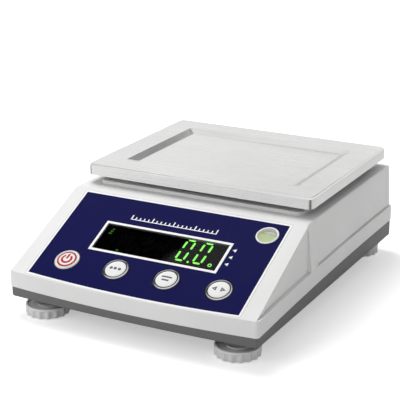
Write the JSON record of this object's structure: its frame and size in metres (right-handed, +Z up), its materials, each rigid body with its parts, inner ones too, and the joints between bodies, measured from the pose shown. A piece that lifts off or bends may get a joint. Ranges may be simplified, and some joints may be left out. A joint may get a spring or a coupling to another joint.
{
  "type": "counting scale",
  "caption": "Bench counting scale: wedge housing with sloped key panel and lit display, dished steel pan on a load cell, levelling feet.",
  "frame": {"origin": "on the bench under the middle of the housing: the centre of the underside of the bounding box", "axes": "+X to the operator's right, +Y from the operator's side to the back, +Z up"},
  "size_m": [0.2, 0.257, 0.0888],
  "materials": {
    "white_abs": "fine spark-eroded texture, off-white",
    "grey_abs": "fine texture, mid grey",
    "overlay_film": "satin printed film, navy with a white border",
    "smoked_lens": "polished smoked acrylic",
    "display_black": "black epoxy with green segments",
    "black_plastic": "moulded",
    "white_gloss": "glossy moulded white",
    "circuit_board": "green solder mask",
    "zinc_plate": "bright zinc plate",
    "aluminium_beam": "milled and clear anodised",
    "cast_aluminium": "as cast",
    "brushed_stainless": "fine brushed",
    "brass_nut": "turned brass",
    "black_rubber": "matt",
    "foot_plastic": "moulded, light grey",
    "vial_fluid": "pale green fluid",
    "clear_lens": "clear polished",
    "battery_case": "moulded, dark grey",
    "cable_jacket": "smooth jacket"
  },
  "bodies": {
    "housing": {"upper_housing": "white_abs", "base_tray": "grey_abs", "panel_overlay": "overlay_film", "display_window": "smoked_lens", "display_module": "display_black", "display_board": "circuit_board", "key_switches": "black_plastic", "display_board_screws": "zinc_plate", "level_vial_cup": "white_gloss", "level_vial_liquid": "vial_fluid", "level_vial_lens": "clear_lens", "base_plate": "zinc_plate", "base_plate_screws": "zinc_plate", "load_cell": "aluminium_beam", "load_cell_riser": "aluminium_beam", "load_cell_fixed_screws": "zinc_plate", "overload_stop": "zinc_plate", "foot_nuts": "brass_nut", "main_board": "circuit_board", "main_board_screws": "zinc_plate", "adc_shield": "zinc_plate", "board_components": "black_plastic", "buzzer": "black_plastic", "board_headers": "white_gloss", "dc_jack": "black_plastic", "battery": "battery_case", "battery_terminals": "brass_nut", "battery_foam": "black_rubber", "load_cell_cable": "cable_jacket", "battery_leads": "cable_jacket", "display_ribbon": "cable_jacket", "housing_screws": "zinc_plate"},
    "battery_door": {"battery_door": "grey_abs", "battery_door_screw": "zinc_plate"},
    "platform": {"load_post": "aluminium_beam", "load_post_screws": "zinc_plate", "pan_support": "cast_aluminium", "pan_bumpers": "black_rubber"},
    "pan": {"weighing_pan": "brushed_stainless"},
    "key_power": {"key_power": "white_gloss", "plunger_power": "black_plastic"},
    "key_count": {"key_count": "white_gloss", "plunger_count": "black_plastic"},
    "key_tare": {"key_tare": "white_gloss", "plunger_tare": "black_plastic"},
    "key_unit": {"key_unit": "white_gloss", "plunger_unit": "black_plastic"},
    "pad_front_left": {"foot_pad_front_left": "black_rubber"},
    "foot_front_left": {"foot_disc_front_left": "foot_plastic", "foot_stud_front_left": "zinc_plate"},
    "pad_front_right": {"foot_pad_front_right": "black_rubber"},
    "foot_front_right": {"foot_disc_front_right": "foot_plastic", "foot_stud_front_right": "zinc_plate"},
    "pad_rear_left": {"foot_pad_rear_left": "black_rubber"},
    "foot_rear_left": {"foot_disc_rear_left": "foot_plastic", "foot_stud_rear_left": "zinc_plate"},
    "pad_rear_right": {"foot_pad_rear_right": "black_rubber"},
    "foot_rear_right": {"foot_disc_rear_right": "foot_plastic", "foot_stud_rear_right": "zinc_plate"}
  },
  "joints": [
    {"name": "load_cell_flex", "type": "slide", "parent": "housing", "child": "platform", "axis": [0, 0, -1], "range_m": [0, 0.0004], "stiffness_N_per_m": 100000},
    {"name": "pan_lift_off", "type": "slide", "parent": "platform", "child": "pan", "axis": [0, 0, 1], "range_m": [0, 0.05]},
    {"name": "battery_door_release", "type": "slide", "parent": "housing", "child": "battery_door", "axis": [0, 0, -1], "range_m": [0, 0.01]},
    {"name": "key_power_press", "type": "slide", "parent": "housing", "child": "key_power", "axis": [0, 0.416, -0.9093], "range_m": [0, 0.0005], "stiffness_N_per_m": 4000, "springref_m": -0.0001},
    {"name": "key_count_press", "type": "slide", "parent": "housing", "child": "key_count", "axis": [0, 0.416, -0.9093], "range_m": [0, 0.0005], "stiffness_N_per_m": 4000, "springref_m": -0.0001},
    {"name": "key_tare_press", "type": "slide", "parent": "housing", "child": "key_tare", "axis": [0, 0.416, -0.9093], "range_m": [0, 0.0005], "stiffness_N_per_m": 4000, "springref_m": -0.0001},
    {"name": "key_unit_press", "type": "slide", "parent": "housing", "child": "key_unit", "axis": [0, 0.416, -0.9093], "range_m": [0, 0.0005], "stiffness_N_per_m": 4000, "springref_m": -0.0001},
    {"name": "foot_front_left_travel", "type": "slide", "parent": "housing", "child": "pad_front_left", "axis": [0, 0, -1], "range_m": [-0.0015, 0.006]},
    {"name": "foot_front_left_turn", "type": "hinge", "parent": "pad_front_left", "child": "foot_front_left", "pos_m": [-0.0777, -0.1105, 0], "axis": [0, 0, -1], "range_deg": [-432, 1728]},
    {"name": "foot_front_right_travel", "type": "slide", "parent": "housing", "child": "pad_front_right", "axis": [0, 0, -1], "range_m": [-0.0015, 0.006]},
    {"name": "foot_front_right_turn", "type": "hinge", "parent": "pad_front_right", "child": "foot_front_right", "pos_m": [0.0777, -0.1105, 0], "axis": [0, 0, -1], "range_deg": [-432, 1728]},
    {"name": "foot_rear_left_travel", "type": "slide", "parent": "housing", "child": "pad_rear_left", "axis": [0, 0, -1], "range_m": [-0.0015, 0.006]},
    {"name": "foot_rear_left_turn", "type": "hinge", "parent": "pad_rear_left", "child": "foot_rear_left", "pos_m": [-0.0777, 0.1114, 0], "axis": [0, 0, -1], "range_deg": [-432, 1728]},
    {"name": "foot_rear_right_travel", "type": "slide", "parent": "housing", "child": "pad_rear_right", "axis": [0, 0, -1], "range_m": [-0.0015, 0.006]},
    {"name": "foot_rear_right_turn", "type": "hinge", "parent": "pad_rear_right", "child": "foot_rear_right", "pos_m": [0.0777, 0.1114, 0], "axis": [0, 0, -1], "range_deg": [-432, 1728]}
  ],
  "couplings": [
    {"joint": "foot_front_left_travel", "follows": "foot_front_left_turn", "m_per_rad": 0.00019894},
    {"joint": "foot_front_right_travel", "follows": "foot_front_right_turn", "m_per_rad": 0.00019894},
    {"joint": "foot_rear_left_travel", "follows": "foot_rear_left_turn", "m_per_rad": 0.00019894},
    {"joint": "foot_rear_right_travel", "follows": "foot_rear_right_turn", "m_per_rad": 0.00019894}
  ]
}
